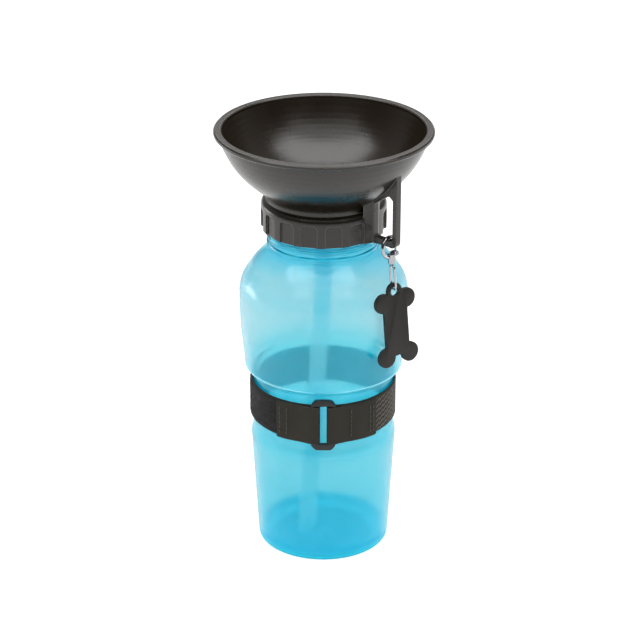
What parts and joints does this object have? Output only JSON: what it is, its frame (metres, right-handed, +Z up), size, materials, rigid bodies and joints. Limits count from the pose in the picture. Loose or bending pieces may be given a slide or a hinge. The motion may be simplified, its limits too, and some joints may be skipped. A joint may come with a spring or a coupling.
{
  "type": "dog travel water bottle",
  "caption": "Squeeze water bottle for dogs with a screw-on drinking bowl, dip tube, waist hand strap with buckle, and a bone tag on a snap clip.",
  "frame": {"origin": "centre of the base, on the surface that the bottle stands on", "axes": "+Z up along the bottle, -Y towards the buckle side, +X to the right seen from the buckle side"},
  "size_m": [0.102, 0.102, 0.2103],
  "materials": {
    "bottle_plastic": "translucent tinted blow-moulded plastic",
    "bowl_plastic": "semi-gloss dark grey moulded plastic",
    "gasket_rubber": "soft pale sealing ring",
    "tube_plastic": "clear extruded tube",
    "webbing": "woven dark webbing",
    "loop_pile": "fuzzy loop fastener",
    "hook_pile": "stiff hook fastener",
    "thread": "sewing thread",
    "buckle_plastic": "moulded plastic",
    "clip_metal": "bright plated wire",
    "tag_plastic": "satin dark plate"
  },
  "bodies": {
    "bottle": {"bottle": "bottle_plastic"},
    "gasket": {"neck_gasket": "gasket_rubber"},
    "cap": {"bowl_cap": "bowl_plastic", "dip_tube": "tube_plastic"},
    "strap": {"strap_webbing": "webbing", "strap_loop_patch": "loop_pile", "strap_hook_patch": "hook_pile", "fold_stitching": "thread", "tail_stitching": "thread", "buckle_ring": "buckle_plastic"},
    "clip": {"clip_hook": "clip_metal", "gate_rivet": "clip_metal"},
    "gate": {"clip_gate": "clip_metal"},
    "eye": {"clip_eye": "clip_metal"},
    "tag": {"bone_tag": "tag_plastic"}
  },
  "joints": [
    {"name": "cap_lift", "type": "slide", "parent": "bottle", "child": "gasket", "axis": [0, 0, 1], "range_m": [0, 0.006]},
    {"name": "cap_turn", "type": "hinge", "parent": "gasket", "child": "cap", "pos_m": [0, 0, 0.1774], "axis": [0, 0, 1], "range_deg": [0, 540]},
    {"name": "strap_turn", "type": "hinge", "parent": "bottle", "child": "strap", "pos_m": [0, 0, 0.0758], "axis": [0, 0, 1], "continuous": true},
    {"name": "clip_swing", "type": "hinge", "parent": "cap", "child": "clip", "pos_m": [0.03057, -0.02565, 0.16365], "axis": [0.766, -0.6428, 0], "range_deg": [-30, 0]},
    {"name": "gate_open", "type": "hinge", "parent": "clip", "child": "gate", "pos_m": [0.0329, -0.02369, 0.15825], "axis": [0.7624, -0.6397, 0.0976], "range_deg": [0, 15], "stiffness_Nm_per_rad": 0.002, "springref_deg": -11.46},
    {"name": "eye_swivel", "type": "hinge", "parent": "clip", "child": "eye", "pos_m": [0.03121, -0.02619, 0.15507], "axis": [-0.0748, 0.0627, 0.9952], "range_deg": [0, 20]},
    {"name": "tag_swing", "type": "hinge", "parent": "eye", "child": "tag", "pos_m": [0.03224, -0.02705, 0.14134], "axis": [0.57, -0.8162, 0.0943], "range_deg": [-20, 20]}
  ],
  "couplings": [
    {"joint": "cap_lift", "follows": "cap_turn", "m_per_rad": 0.00063662}
  ]
}
